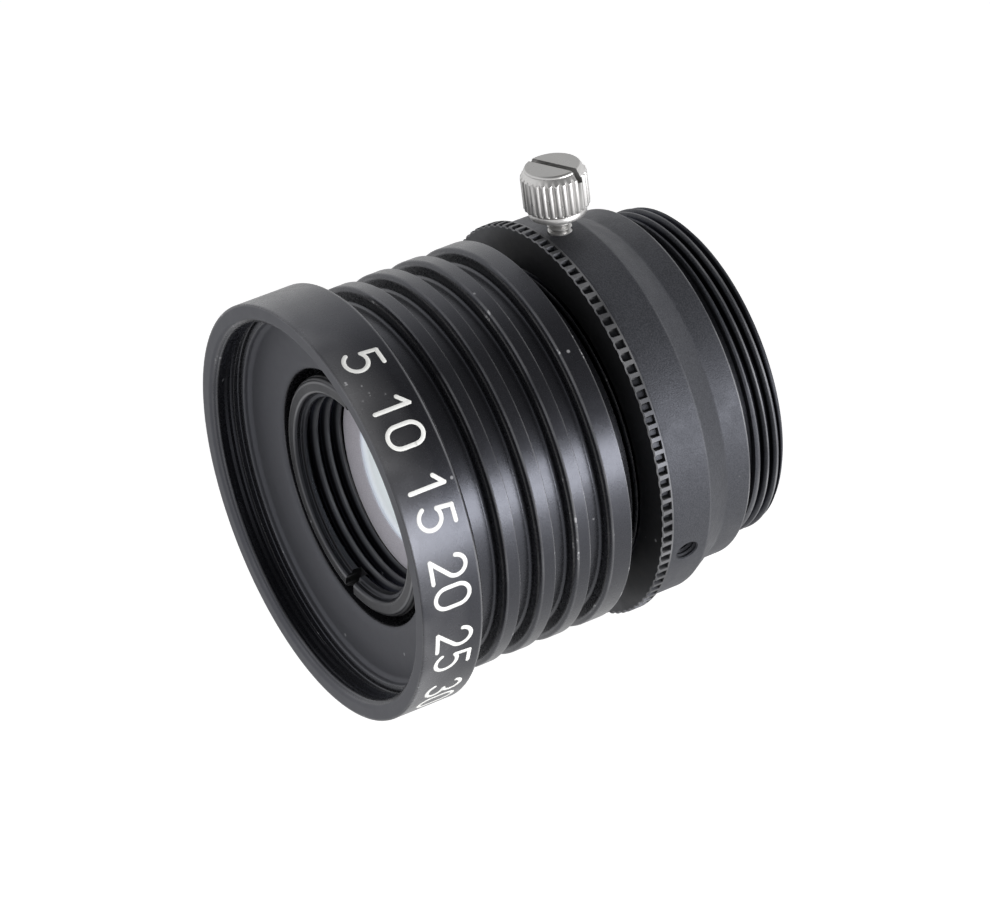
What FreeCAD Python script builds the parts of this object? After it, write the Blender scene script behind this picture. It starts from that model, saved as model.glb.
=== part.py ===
import FreeCAD, Part
import math
import os

# A fixed magnification lens on a C-mount, in millimetres.
# The origin is the centre of the flange face that seats on the camera. +Y runs back into
# the camera along the optical axis, and +Z runs out through the thumbscrew.

# Mount body: one turned piece with the camera thread at its rear. The thread's radius drives
# every other radius through the walls and steps below.
camera_thread_radius = 12.7
camera_thread_length = 3.8
camera_thread_chamfer = 0.5
relief_drop = 0.65
relief_radius = camera_thread_radius - relief_drop
relief_width = 0.9
rear_wall = 1.9
rear_bore_radius = camera_thread_radius - rear_wall
flange_step = 0.9
seat_radius = camera_thread_radius + flange_step
seat_length = 2.05
taper_length = 2.15
grip_step = 1.15
grip_radius = seat_radius + grip_step
grip_length = 3.4
grip_edge = 0.12

# Focusing thread between barrel and mount body, drawn at its outer diameter.
focus_thread_step = 0.7
focus_thread_radius = camera_thread_radius - focus_thread_step
running_clearance = 0.05
focus_engagement = 5.0
focus_run_out = 0.6
contact_gap = 0.03

# Lock ring on the focusing thread.
lock_ring_thickness = 0.94
lock_ring_lip = 0.45
lock_ring_radius = grip_radius + lock_ring_lip
lock_ring_chamfer = 0.2
lock_ring_web = 0.16
lock_notch_count = 98
lock_notch_start = 2.5
lock_notch_depth = 0.42
lock_notch_share = 0.5

# Barrel: front ring, four ribs and threaded neck, turned from one bar.
neck_gap = 2.35
rib_count = 4
rib_radius = grip_radius
rib_pitch = 2.95
rib_width = 1.27
last_rib_width = 1.82
rib_chamfer_length = 0.2
rib_chamfer_drop = 0.35
rib_height = 1.25
groove_radius = rib_radius - rib_height
groove_corner = 0.16
first_groove_width = 2.46
front_ring_step = 1.25
front_ring_radius = rib_radius + front_ring_step
front_ring_length = 5.05
front_ring_edge = 0.1
front_ring_rear_edge = 0.25

# Front recess of the barrel, with its filter thread.
lip_width = 1.05
filter_thread_wall = 1.5
filter_thread_radius = front_ring_radius - filter_thread_wall
filter_thread_start = 0.4
filter_thread_end = 1.9
filter_relief_depth = 0.2
filter_relief_end = 2.3
step_drop = 0.2
step_length = 0.2
dish_depth = 3.25
neck_wall = 2.1
cell_bore_radius = focus_thread_radius - neck_wall
dish_flat_width = 0.6
dish_flat_radius = cell_bore_radius + dish_flat_width
bore_edge_round = 0.4
cell_shoulder_depth = 15.0
cell_shoulder_width = 0.55
tail_bore_radius = cell_bore_radius - cell_shoulder_width

# Damping ring in the neck's last groove.
o_ring_section = 1.0
o_ring_groove_width = 1.3
o_ring_groove_land = 0.8

# Lens cell that screws into the barrel from the front.
cell_setback = 3.35
cell_nose_gap = 0.64
cell_nose_radius = cell_bore_radius - cell_nose_gap
cell_nose_length = 3.0
cell_tail_clearance = 0.1
cell_tail_end = 25.6
cell_nose_wall = 1.31
cell_mouth_radius = cell_nose_radius - cell_nose_wall
cell_mouth_chamfer = 0.15
baffle_depth = 0.35
baffle_count = 5
baffle_pitch = 0.78
baffle_crest = 0.3
pocket_clearance = 0.05
spanner_slot_width = 1.1
spanner_slot_depth = 1.2
spanner_slot_angle = 14.65
web_thickness = 0.8

# Optics: rim radius of every element, and the thickness of each piece of the two stacks.
glass_rim_step = 0.65
glass_rim_radius = cell_mouth_radius - glass_rim_step
glass_rim_width = 0.8
glass_clear_radius = glass_rim_radius - glass_rim_width
bow_clearance = 0.1
spacer_bore_radius = glass_clear_radius + bow_clearance
web_step = 1.3
web_opening_radius = glass_clear_radius - web_step
ring_thickness = 1.6
ring_lip = 0.9
ring_bore_radius = glass_clear_radius - ring_lip
ring_mouth_land = 0.35
ring_mouth_radius = cell_mouth_radius - baffle_depth - ring_mouth_land
ring_cone_length = 0.63
ring_seat_radius = spacer_bore_radius
ring_relief_depth = 0.47
ring_slot_width = 1.0
ring_slot_depth = 0.5
front_lens_rim = 1.5
front_spacer_length = 0.8
second_lens_rim = 1.2
second_spacer_length = 1.0
front_crown_rim = 2.0
front_flint_rim = 1.5
stop_thickness = 0.3
stop_bore_radius = 1.9
stop_spacer_length = 1.0
rear_flint_rim = 1.3
rear_crown_rim = 1.9
rear_spacer_length = 1.0
rear_lens_rim = 1.7
front_lens_bows = (0.9, -0.55)
second_lens_bows = (0.55, -0.7)
front_crown_bow = 0.8
front_cement_bow = 0.45
front_flint_bow = -0.2
rear_flint_bow = -0.2
rear_cement_bow = 0.3
rear_crown_bow = 0.4
rear_lens_bows = (0.3, 0.35)

# Thumbscrew, its pad, and the three tapped holes round the grip.
screw_radius = 0.9
screw_exposed = 1.65
screw_hole_spacing = 116.0
pad_thickness = 0.8
head_radius = 2.45
head_height = 3.65
head_flange_radius = 2.15
head_flange_height = 0.55
head_neck_drop = 0.1
head_neck_height = 0.12
head_chamfer = 0.42
head_top_radius = 2.08
head_top_lip = 0.22
knurl_count = 28
knurl_depth = 0.2
slot_width = 0.48
slot_depth = 1.0
slot_angle = 21.0

AXIS = FreeCAD.Vector(0, 1, 0)
CENTRE = FreeCAD.Vector(0, 0, 0)

# Places along the axis, worked out forward from the flange and then back from the front face.
mount_front = -(seat_length + taper_length + grip_length)
grip_rear = mount_front + grip_length
taper_rear = grip_rear + taper_length
lock_ring_rear = mount_front - contact_gap
lock_ring_front = lock_ring_rear - lock_ring_thickness
last_rib_rear = lock_ring_front - neck_gap
last_rib_front = last_rib_rear - last_rib_width
first_rib_front = last_rib_front - (rib_count - 1) * rib_pitch
front_ring_rear = first_rib_front - first_groove_width
front_face = front_ring_rear - front_ring_length
neck_rear = mount_front + focus_engagement
cell_shoulder = front_face + cell_shoulder_depth
cell_front = front_face + cell_setback
cell_rear = front_face + cell_tail_end
cell_pocket_radius = glass_rim_radius + pocket_clearance
retaining_ring_radius = cell_mouth_radius - baffle_depth - running_clearance
lip_inner_radius = front_ring_radius - lip_width
screw_place = (mount_front + grip_rear) / 2

os.makedirs("parts", exist_ok=True)


def save(shape, name):
    """Write one node's solid."""
    shape.exportStep("parts/" + name + ".step")


def at(radius, place):
    """A point of a profile: its distance from the optical axis and its place along it."""
    return FreeCAD.Vector(radius, place, 0)


def line(start, end):
    return Part.makeLine(start, end)


def arc(start, middle, end):
    return Part.Arc(start, middle, end).toShape()


def outline(corners):
    """The straight edges that join a list of corners."""
    return [line(a, b) for a, b in zip(corners, corners[1:])]


def turned(edges):
    """A solid of revolution about the optical axis, from the edges of a closed profile."""
    face = Part.Face(Part.Wire(edges))
    return face.revolve(CENTRE, AXIS, 360)


def turned_ring(inner, outer, front, rear):
    """A plain ring with square edges."""
    corners = [at(inner, front), at(outer, front), at(outer, rear), at(inner, rear), at(inner, front)]
    return turned(outline(corners))


def radial_bar(width, depth, inner, outer, front, angle):
    """A square bar that stands out from the axis, at an angle from +Z towards +X."""
    corner = FreeCAD.Vector(-width / 2, front, inner)
    bar = Part.makeBox(width, depth, outer - inner, corner)
    bar.rotate(CENTRE, AXIS, angle)
    return bar


def tapped_hole(angle):
    """The cutter for one radial hole through the wall of the grip."""
    radius = screw_radius + running_clearance
    start = FreeCAD.Vector(0, screw_place, focus_thread_radius - screw_radius)
    cutter = Part.makeCylinder(radius, grip_radius, start, FreeCAD.Vector(0, 0, 1))
    cutter.rotate(CENTRE, AXIS, angle)
    return cutter


def mount_body():
    """Turned housing: grip, taper, seat, relief and camera thread, bored for the neck."""
    bore = focus_thread_radius + running_clearance
    thread_rear = camera_thread_length
    chamfered = camera_thread_radius - camera_thread_chamfer
    corners = [
        at(bore, mount_front),
        at(grip_radius - grip_edge, mount_front),
        at(grip_radius, mount_front + grip_edge),
        at(grip_radius, grip_rear),
        at(seat_radius, taper_rear),
        at(seat_radius, 0),
        at(relief_radius, 0),
        at(relief_radius, relief_width),
        at(camera_thread_radius, relief_width),
        at(camera_thread_radius, thread_rear - camera_thread_chamfer),
        at(chamfered, thread_rear),
        at(rear_bore_radius, thread_rear),
        at(rear_bore_radius, neck_rear + focus_run_out),
        at(bore, neck_rear + focus_run_out),
        at(bore, mount_front),
    ]
    body = turned(outline(corners))
    holes = [tapped_hole(angle) for angle in (0, screw_hole_spacing, -screw_hole_spacing)]
    return body.cut(holes)


def rib_corners(front, width):
    """One rib from the groove before it to the groove behind it."""
    rear = front + width
    return [
        at(groove_radius, front - groove_corner),
        at(groove_radius + groove_corner, front),
        at(rib_radius - rib_chamfer_drop, front),
        at(rib_radius, front + rib_chamfer_length),
        at(rib_radius, rear),
        at(groove_radius, rear),
    ]


def recess_edges():
    """The front recess, from the lip's inner edge down to the bore for the cell."""
    relief = filter_thread_radius + filter_relief_depth
    first_step = filter_thread_radius - step_drop
    second_step = first_step - step_drop
    corners = [
        at(lip_inner_radius, front_face),
        at(filter_thread_radius, front_face + filter_thread_start),
        at(filter_thread_radius, front_face + filter_thread_end),
        at(relief, front_face + filter_thread_end),
        at(relief, front_face + filter_relief_end),
        at(first_step, front_face + filter_relief_end),
        at(first_step, front_face + filter_relief_end + step_length),
        at(second_step, front_face + filter_relief_end + step_length),
        at(second_step, front_face + filter_relief_end + 2 * step_length),
    ]
    dish_start = corners[-1]
    dish_floor = front_face + dish_depth
    dish_end = at(dish_flat_radius, dish_floor)
    dish_middle = at((second_step + dish_flat_radius) / 2, dish_floor - (dish_floor - dish_start.y) / 4)
    round_start = at(cell_bore_radius + bore_edge_round, dish_floor)
    half = bore_edge_round * (1 - math.sqrt(0.5))
    round_middle = at(cell_bore_radius + half, dish_floor + half)
    round_end = at(cell_bore_radius, dish_floor + bore_edge_round)
    edges = outline(corners)
    edges.append(arc(dish_start, dish_middle, dish_end))
    edges.append(line(dish_end, round_start))
    edges.append(arc(round_start, round_middle, round_end))
    edges.extend(outline([round_end, at(cell_bore_radius, cell_shoulder), at(tail_bore_radius, cell_shoulder)]))
    return edges


def outer_barrel():
    """Front ring, ribs and neck outside; recess, cell bore and tail bore inside."""
    o_ring_floor = focus_thread_radius - o_ring_section - running_clearance
    groove_rear = neck_rear - o_ring_groove_land
    groove_front = groove_rear - o_ring_groove_width
    outside = [
        at(tail_bore_radius, neck_rear),
        at(focus_thread_radius, neck_rear),
        at(focus_thread_radius, groove_rear),
        at(o_ring_floor, groove_rear),
        at(o_ring_floor, groove_front),
        at(focus_thread_radius, groove_front),
        at(focus_thread_radius, last_rib_rear),
    ]
    rear_to_front = []
    for number in range(rib_count):
        front = first_rib_front + number * rib_pitch
        width = last_rib_width if number == rib_count - 1 else rib_width
        rear_to_front = rib_corners(front, width)[::-1] + rear_to_front
    rear_to_front[0] = at(rib_radius, last_rib_rear)
    del rear_to_front[1]
    outside.extend(rear_to_front)
    outside.extend([
        at(groove_radius, front_ring_rear),
        at(front_ring_radius - front_ring_rear_edge, front_ring_rear),
        at(front_ring_radius, front_ring_rear - front_ring_rear_edge),
        at(front_ring_radius, front_face + front_ring_edge),
        at(front_ring_radius - front_ring_edge, front_face),
        at(lip_inner_radius, front_face),
    ])
    edges = outline(outside) + recess_edges()
    edges.append(line(at(tail_bore_radius, cell_shoulder), at(tail_bore_radius, neck_rear)))
    return turned(edges)


def lock_ring():
    """Thin ring with square notches round its rim, open at the front face."""
    bore = focus_thread_radius + running_clearance
    corners = [
        at(bore, lock_ring_front),
        at(lock_ring_radius - lock_ring_chamfer, lock_ring_front),
        at(lock_ring_radius, lock_ring_front + lock_ring_chamfer),
        at(lock_ring_radius, lock_ring_rear),
        at(bore, lock_ring_rear),
        at(bore, lock_ring_front),
    ]
    ring = turned(outline(corners))
    width = lock_notch_share * 2 * math.pi * lock_ring_radius / lock_notch_count
    depth = lock_ring_thickness - lock_ring_web
    floor = lock_ring_radius - lock_notch_depth
    beyond = lock_ring_radius + lock_notch_depth
    step = 360.0 / lock_notch_count
    notches = []
    for number in range(lock_notch_count):
        notches.append(radial_bar(width, depth, floor, beyond, lock_ring_front,
                                  lock_notch_start + number * step))
    return ring.cut(Part.makeCompound(notches))


def damping_o_ring():
    """Rubber ring in the neck's groove, a hair clear of the groove and the mount's bore."""
    middle = focus_thread_radius - o_ring_section / 2
    place = neck_rear - o_ring_groove_land - o_ring_groove_width / 2
    section = o_ring_section / 2 - running_clearance / 2
    return Part.makeTorus(middle, section, FreeCAD.Vector(0, place, 0), AXIS)


def lens_cell():
    """The optics' tube: slotted nose, thread, tail, two pockets and the web between them."""
    bore_thread = cell_bore_radius - running_clearance
    tail = tail_bore_radius - cell_tail_clearance
    nose_rear = cell_front + cell_nose_length
    crest_radius = cell_mouth_radius - baffle_depth
    pocket_front = stack_places["front_lens"][0]
    web_front = stack_places["front_flint"][1]
    web_rear = web_front + web_thickness
    pocket_rear = stack_places["rear_lens"][1]
    corners = [
        at(cell_mouth_radius + cell_mouth_chamfer, cell_front),
        at(cell_nose_radius, cell_front),
        at(cell_nose_radius, nose_rear),
        at(bore_thread, nose_rear),
        at(bore_thread, cell_shoulder),
        at(tail, cell_shoulder),
        at(tail, cell_rear),
        at(crest_radius, cell_rear),
        at(crest_radius, pocket_rear),
        at(cell_pocket_radius, pocket_rear),
        at(cell_pocket_radius, web_rear),
        at(web_opening_radius, web_rear),
        at(web_opening_radius, web_front),
        at(cell_pocket_radius, web_front),
        at(cell_pocket_radius, pocket_front),
        at(crest_radius, pocket_front),
    ]
    first_groove = cell_front + cell_mouth_chamfer
    for number in range(baffle_count - 1, -1, -1):
        groove = first_groove + number * baffle_pitch
        crest = groove + baffle_pitch - baffle_crest
        corners.append(at(crest_radius, crest))
        corners.append(at(cell_mouth_radius, (groove + crest) / 2))
        corners.append(at(crest_radius if number else cell_mouth_radius, groove))
    corners.append(corners[0])
    cell = turned(outline(corners))
    slots = []
    for turn in (0, 180):
        angle = spanner_slot_angle + turn
        inner = cell_mouth_radius - 2 * baffle_depth
        outer = cell_nose_radius + baffle_depth
        slots.append(radial_bar(spanner_slot_width, spanner_slot_depth, inner, outer, cell_front, angle))
    return cell.cut(slots)


def retaining_ring(front, rear, cone_at_front):
    """Threaded ring with a cone towards the outside and two spanner slots in that face."""
    outside = front if cone_at_front else rear
    inward = 1 if cone_at_front else -1
    other = rear if cone_at_front else front
    corners = [
        at(ring_mouth_radius, outside),
        at(retaining_ring_radius, outside),
        at(retaining_ring_radius, other),
        at(ring_seat_radius, other),
        at(ring_bore_radius, other - inward * ring_relief_depth),
        at(ring_bore_radius, outside + inward * ring_cone_length),
        at(ring_mouth_radius, outside),
    ]
    ring = turned(outline(corners))
    slot_front = outside if cone_at_front else outside - ring_slot_depth
    slots = []
    for turn in (0, 180):
        angle = spanner_slot_angle + 90 + turn
        slots.append(radial_bar(ring_slot_width, ring_slot_depth, ring_bore_radius - ring_slot_width,
                                retaining_ring_radius + ring_slot_width, slot_front, angle))
    return ring.cut(slots)


def bow_edge(bow, plane, towards_rear):
    """A spherical face from the axis to the clear radius, bowed out of the element by bow."""
    side = 1 if towards_rear else -1
    vertex = at(0, plane + side * bow)
    sphere = (glass_clear_radius ** 2 + bow ** 2) / (2 * abs(bow))
    half = glass_clear_radius / 2
    sag = math.sqrt(sphere ** 2 - half ** 2) - (sphere - abs(bow))
    middle = at(half, plane + side * math.copysign(sag, bow))
    return arc(vertex, middle, at(glass_clear_radius, plane))


def element(places, front_bow, rear_bow):
    """A lens element with a flat rim on each side to seat against its neighbours."""
    front, rear = places
    rim = outline([at(glass_clear_radius, front), at(glass_rim_radius, front),
                   at(glass_rim_radius, rear), at(glass_clear_radius, rear)])
    axis_edge = line(at(0, rear + rear_bow), at(0, front - front_bow))
    edges = [bow_edge(front_bow, front, False)] + rim + [bow_edge(rear_bow, rear, True), axis_edge]
    return turned(edges)


def stack(start, pieces):
    """Front and rear planes of pieces that are laid one on another."""
    places = {}
    for name, thickness in pieces:
        places[name] = (start, start + thickness)
        start += thickness
    return places


def pressure_pad():
    """Soft pad under the screw's tip, which bears on the neck."""
    start = FreeCAD.Vector(0, screw_place, focus_thread_radius + contact_gap)
    return Part.makeCylinder(screw_radius, pad_thickness, start, FreeCAD.Vector(0, 0, 1))


def knurled_prism(bottom, top):
    """A prism with one V flute for each tooth of the straight knurl."""
    points = []
    for number in range(2 * knurl_count):
        angle = math.pi * number / knurl_count
        radius = head_radius if number % 2 == 0 else head_radius - knurl_depth
        points.append(FreeCAD.Vector(radius * math.cos(angle), radius * math.sin(angle), bottom))
    points.append(points[0])
    face = Part.Face(Part.makePolygon(points))
    return face.extrude(FreeCAD.Vector(0, 0, top - bottom))


def thumbscrew():
    """Shank, flange, knurled head with a chamfered top, and a screwdriver slot."""
    tip = focus_thread_radius + contact_gap + pad_thickness + contact_gap
    head_bottom = grip_radius + screw_exposed
    head_top = head_bottom + head_height
    flange_top = head_bottom + head_flange_height
    knurl_bottom = flange_top + head_neck_height
    knurl_top = head_top - head_top_lip - head_chamfer
    neck_radius = head_flange_radius - head_neck_drop
    rounded = head_flange_height / 3
    profile = [
        (0, tip), (screw_radius, tip), (screw_radius, head_bottom),
        (head_flange_radius - rounded, head_bottom), (head_flange_radius, head_bottom + rounded),
        (head_flange_radius, flange_top), (neck_radius, flange_top), (neck_radius, knurl_bottom),
        (head_radius, knurl_bottom), (head_radius, knurl_top),
        (head_top_radius, head_top - head_top_lip), (head_top_radius, head_top - head_top_lip / 2),
        (head_top_radius - head_top_lip / 2, head_top), (0, head_top), (0, tip),
    ]
    points = [FreeCAD.Vector(radius, 0, height) for radius, height in profile]
    face = Part.Face(Part.makePolygon(points))
    screw = face.revolve(CENTRE, FreeCAD.Vector(0, 0, 1), 360)
    shell = Part.makeCylinder(2 * head_radius, knurl_top - knurl_bottom, FreeCAD.Vector(0, 0, knurl_bottom))
    screw = screw.cut(shell.cut(knurled_prism(knurl_bottom, knurl_top)))
    slot = Part.makeBox(4 * head_radius, slot_width, slot_depth,
                        FreeCAD.Vector(-2 * head_radius, -slot_width / 2, head_top - slot_depth))
    slot.rotate(CENTRE, FreeCAD.Vector(0, 0, 1), slot_angle)
    screw = screw.cut(slot)
    screw.translate(FreeCAD.Vector(0, screw_place, 0))
    return screw


front_ring_start = cell_front + cell_mouth_chamfer + (baffle_count - 1) * baffle_pitch - baffle_crest
stack_places = stack(front_ring_start, [
    ("front_ring", ring_thickness),
    ("front_lens", front_lens_rim),
    ("front_spacer", front_spacer_length),
    ("second_lens", second_lens_rim),
    ("second_spacer", second_spacer_length),
    ("front_crown", front_crown_rim),
    ("front_flint", front_flint_rim),
])
stack_places.update(stack(stack_places["front_flint"][1] + web_thickness, [
    ("stop", stop_thickness),
    ("stop_spacer", stop_spacer_length),
    ("rear_flint", rear_flint_rim),
    ("rear_crown", rear_crown_rim),
    ("rear_spacer", rear_spacer_length),
    ("rear_lens", rear_lens_rim),
    ("rear_ring", ring_thickness),
]))

save(mount_body(), "mount_body")
save(outer_barrel(), "outer_barrel")
save(lock_ring(), "lock_ring")
save(damping_o_ring(), "damping_o_ring")
save(lens_cell(), "lens_cell")
save(pressure_pad(), "pressure_pad")
save(thumbscrew(), "thumbscrew")
save(retaining_ring(*stack_places["front_ring"], True), "front_retaining_ring")
save(retaining_ring(*stack_places["rear_ring"], False), "rear_retaining_ring")
save(element(stack_places["front_lens"], *front_lens_bows), "front_lens")
save(element(stack_places["second_lens"], *second_lens_bows), "second_lens")
save(element(stack_places["front_crown"], front_crown_bow, front_cement_bow), "front_doublet_crown")
save(element(stack_places["front_flint"], -front_cement_bow, front_flint_bow), "front_doublet_flint")
save(element(stack_places["rear_flint"], rear_flint_bow, -rear_cement_bow), "rear_doublet_flint")
save(element(stack_places["rear_crown"], rear_cement_bow, rear_crown_bow), "rear_doublet_crown")
save(element(stack_places["rear_lens"], *rear_lens_bows), "rear_lens")
for node in ("front_spacer", "second_spacer", "stop_spacer", "rear_spacer"):
    save(turned_ring(spacer_bore_radius, glass_rim_radius, *stack_places[node]), node)
save(turned_ring(stop_bore_radius, glass_rim_radius, *stack_places["stop"]), "aperture_stop")
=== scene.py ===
import math

import bmesh
import bpy
import numpy as np
from mathutils import Matrix


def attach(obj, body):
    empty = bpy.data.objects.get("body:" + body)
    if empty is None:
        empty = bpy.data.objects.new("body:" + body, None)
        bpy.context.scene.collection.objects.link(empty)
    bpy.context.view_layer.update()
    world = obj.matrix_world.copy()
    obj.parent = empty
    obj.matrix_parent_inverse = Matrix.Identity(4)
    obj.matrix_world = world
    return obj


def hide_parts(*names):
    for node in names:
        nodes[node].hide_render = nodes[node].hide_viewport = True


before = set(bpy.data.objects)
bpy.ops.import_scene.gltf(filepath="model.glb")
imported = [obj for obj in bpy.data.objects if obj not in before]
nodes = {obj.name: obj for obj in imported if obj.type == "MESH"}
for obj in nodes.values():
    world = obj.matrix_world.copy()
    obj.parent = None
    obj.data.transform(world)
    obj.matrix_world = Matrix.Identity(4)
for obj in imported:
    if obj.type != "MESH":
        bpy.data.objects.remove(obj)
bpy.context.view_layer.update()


# The mount body: an aluminium housing turned in one piece, bead blasted and anodised grey-black.
# The camera screws on at its rear, and three tapped holes go round its grip. All the turned
# pieces share the functions here: a closed profile in millimetres, carried round the axis.

rows_a_corner = 4


def trimmed(corners, cut=0.06, land=0.12):
    """Each corner of a closed profile becomes four rows: two lie `cut` away along both of its
    sides, which makes a small flat, and one more lies `land` beyond each. On short sides they
    keep to a share of the side. Gives radius, place and a mask, 1 on outward corners' flats."""
    most_cut, most_land, least_turn = 0.3, 0.45, 0.3
    corners = np.array(corners, float)
    before = np.roll(corners, 1, axis=0) - corners
    after = np.roll(corners, -1, axis=0) - corners
    to_before = np.linalg.norm(before, axis=1)[:, None]
    to_after = np.linalg.norm(after, axis=1)[:, None]
    before, after = before / to_before, after / to_after
    x, y = corners.T
    area = np.sum(x * np.roll(y, -1) - y * np.roll(x, -1))
    turn = (before[:, 1] * after[:, 0] - before[:, 0] * after[:, 1]) * np.sign(area)
    outward = (turn > least_turn).astype(float)
    cut_before = np.minimum(cut, most_cut * to_before)
    cut_after = np.minimum(cut, most_cut * to_after)
    points = np.stack([
        corners + before * np.minimum(cut_before + land, most_land * to_before),
        corners + before * cut_before,
        corners + after * cut_after,
        corners + after * np.minimum(cut_after + land, most_land * to_after),
    ], axis=1).reshape(-1, 2)
    mask = np.outer(outward, [0.0, 1.0, 1.0, 0.0]).ravel()
    return [points[:, 0], points[:, 1], mask]


def widened(rows, columns):
    """Radius, place and mask as full tables: what has one value a row gets it at every angle."""
    return [np.broadcast_to(np.reshape(v, (len(v), -1)), (len(v), columns)) for v in rows]


def joined(*parts):
    """Puts stretches of rows end to end. A stretch is radius, place and mask, each one value a
    row or one value for every row and angle."""
    columns = max(np.size(values) // len(values) for part in parts for values in part)
    wide = [widened(part, columns) for part in parts]
    return [np.concatenate([part[k] for part in wide]) for k in range(3)]


def helix(start, end, crest, depth, pitch, angles):
    """Rows of a thread, four to a turn: two bound the crest's flat and two the root's. A row lies
    at start + pitch * (its share of a turn + turns - 1), held between start and end; its radius
    is the crest's, or depth less on a root, and the depth fades to nothing over half a pitch at
    both ends. The mask is 0.7 on crests, which are rubbed paler, partly wear and partly a painted
    highlight, and -2 on roots, which get painted shade."""
    flats = np.array([0.0, 0.14, 0.5, 0.62])
    length = abs(end - start)
    count = 4 * int(math.ceil(length / pitch) + 1) + 1
    row = np.arange(count)
    share = flats[row % 4] + row // 4
    free = pitch * (share[:, None] + angles[None, :] / (2 * np.pi) - 1)
    root = (row % 4 >= 2)[:, None]
    fade = np.clip(free / (0.5 * pitch), 0, 1) * np.clip((length - free) / (0.5 * pitch), 0, 1)
    place = start + math.copysign(1, end - start) * np.clip(free, 0, length)
    return [crest - depth * root * fade, place, np.where(root, -2.0, 0.7) * fade]


def finished(name, corners, faces, mask, sharp=32):
    """Makes an object from vertices in millimetres: merges what coincides, points the faces out,
    keeps the mask of wear and painted light as an attribute, and marks the edges sharper than the angle
    given."""
    same_point, no_length = 2e-7, 1e-8
    mesh = bpy.data.meshes.new(name)
    mesh.from_pydata((corners * 0.001).tolist(), [], faces.tolist())
    wear_and_light = mesh.attributes.new("edge", "FLOAT", "POINT")
    wear_and_light.data.foreach_set("value", np.ascontiguousarray(mask, dtype=np.float32))
    work = bmesh.new()
    work.from_mesh(mesh)
    bmesh.ops.remove_doubles(work, verts=work.verts, dist=same_point)
    bmesh.ops.dissolve_degenerate(work, edges=work.edges, dist=no_length)
    bmesh.ops.recalc_face_normals(work, faces=work.faces)
    work.to_mesh(mesh)
    work.free()
    mesh.shade_smooth()
    mesh.set_sharp_from_angle(angle=math.radians(sharp))
    made = bpy.data.objects.new(name, mesh)
    bpy.context.scene.collection.objects.link(made)
    return made


def grid_faces(rows, columns, around):
    """Quads between neighbouring rows and columns of a grid; with `around`, the last row also
    joins the first."""
    row = np.arange(rows if around else rows - 1)[:, None]
    column = np.arange(columns - 1)[None, :]
    after = (row + 1) % rows
    quads = [row * columns + column, row * columns + column + 1,
             after * columns + column + 1, after * columns + column]
    return np.stack(quads, axis=-1).reshape(-1, 4)


def turned(name, rows, angles, around=True):
    """A surface of revolution about the optical axis: x = r sin t, y = place, z = r cos t for
    every row of the profile and every angle t."""
    radius, place, mask = widened(rows, len(angles))
    points = np.stack([radius * np.sin(angles), place, radius * np.cos(angles)], axis=-1)
    faces = grid_faces(len(radius), len(angles), around)
    return finished(name, points.reshape(-1, 3), faces, mask.ravel())


def carve(made, cutters, sharp=32):
    """Cuts the cutters out of an object and deletes them."""
    for cutter in cutters:
        step = made.modifiers.new("cut", "BOOLEAN")
        step.operation = "DIFFERENCE"
        step.solver = "EXACT"
        step.object = cutter
    view = bpy.context.evaluated_depsgraph_get()
    mesh = bpy.data.meshes.new_from_object(made.evaluated_get(view))
    made.modifiers.clear()
    old = made.data
    made.data = mesh
    bpy.data.meshes.remove(old)
    for cutter in cutters:
        bpy.data.objects.remove(cutter)
    mesh.shade_smooth()
    mesh.set_sharp_from_angle(angle=math.radians(sharp))


def hole_cutter(radius, groove, inner, outer, place, angle):
    """A bar with a fine thread round it, for a tapped radial hole: height runs from inner to
    outer, and every other row is wider by groove. The bar stands on +Z, and is swung round the
    optical axis by an angle from +Z towards +X."""
    rows = 33
    heights = np.linspace(inner, outer, rows)
    round_it = np.linspace(0, 2 * np.pi, rows)
    width = radius + groove * (np.arange(rows) % 2)
    width[[0, -1]] = 0
    heights[1], heights[-2] = heights[0], heights[-1]
    x = width[:, None] * np.cos(round_it)
    y = place + width[:, None] * np.sin(round_it)
    z = np.broadcast_to(heights[:, None], x.shape)
    t = math.radians(angle)
    points = np.stack([x * math.cos(t) + z * math.sin(t), y, z * math.cos(t) - x * math.sin(t)], axis=-1)
    return finished("cutter", points.reshape(-1, 3), grid_faces(rows, rows, False), np.zeros(rows * rows))


def new_group(name, inputs, outputs):
    """A shader node group with float inputs, given with their defaults, and float outputs."""
    group = bpy.data.node_groups.new(name, "ShaderNodeTree")
    for label, value in inputs.items():
        socket = group.interface.new_socket(name=label, in_out="INPUT", socket_type="NodeSocketFloat")
        socket.default_value = value
    for label in outputs:
        group.interface.new_socket(name=label, in_out="OUTPUT", socket_type="NodeSocketFloat")
    return group, group.nodes.new("NodeGroupInput"), group.nodes.new("NodeGroupOutput")


def feed(tree, socket, value):
    """Links a socket to another, or sets it where the value is a number or a colour."""
    if isinstance(value, bpy.types.NodeSocket):
        tree.links.new(value, socket)
    else:
        socket.default_value = value


def arithmetic(tree, operation, *terms):
    """A math node; each term is a socket or a number."""
    node = tree.nodes.new("ShaderNodeMath")
    node.operation = operation
    for socket, term in zip(node.inputs, terms):
        feed(tree, socket, term)
    return node.outputs[0]


def noise(tree, scale, detail=3.0, roughness=0.55):
    """Noise on Object coordinates; the scale is a socket or a number, per metre."""
    node = tree.nodes.new("ShaderNodeTexNoise")
    tree.links.new(tree.nodes.new("ShaderNodeTexCoord").outputs["Object"], node.inputs["Vector"])
    feed(tree, node.inputs["Scale"], scale)
    node.inputs["Detail"].default_value = detail
    node.inputs["Roughness"].default_value = roughness
    return node.outputs["Fac"]


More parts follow.
